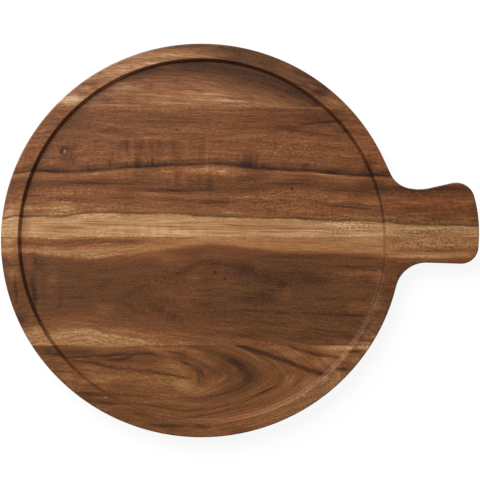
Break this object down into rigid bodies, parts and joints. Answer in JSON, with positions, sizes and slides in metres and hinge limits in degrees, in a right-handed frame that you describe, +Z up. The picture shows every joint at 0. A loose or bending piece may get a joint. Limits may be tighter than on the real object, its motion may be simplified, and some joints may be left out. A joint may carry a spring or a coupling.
{
  "type": "antipasti board",
  "caption": "Round wooden serving board of edge-glued planks with a shallow round recess for food and a short shaped side handle.",
  "frame": {"origin": "middle of the round body, on the underside", "axes": "+X along the grain towards the handle, +Y across the planks, +Z up out of the recess"},
  "size_m": [0.4401, 0.3624, 0.018],
  "materials": {
    "wood_stave_1": "oiled, satin, warm mid brown with fine flecks",
    "wood_stave_2": "oiled, satin, red brown with a pale sapwood band",
    "wood_stave_3": "oiled, satin, dark brown heartwood with an orange band",
    "wood_stave_4": "oiled, satin, golden brown with arched growth rings",
    "glue": "cured wood glue, flush with the surface"
  },
  "bodies": {
    "root": {"stave_1_outer_upper": "wood_stave_1", "stave_2_inner_upper": "wood_stave_2", "stave_3_inner_lower": "wood_stave_3", "stave_4_outer_lower": "wood_stave_4", "glue_joint_1": "glue", "glue_joint_2": "glue", "glue_joint_3": "glue"}
  },
  "joints": []
}
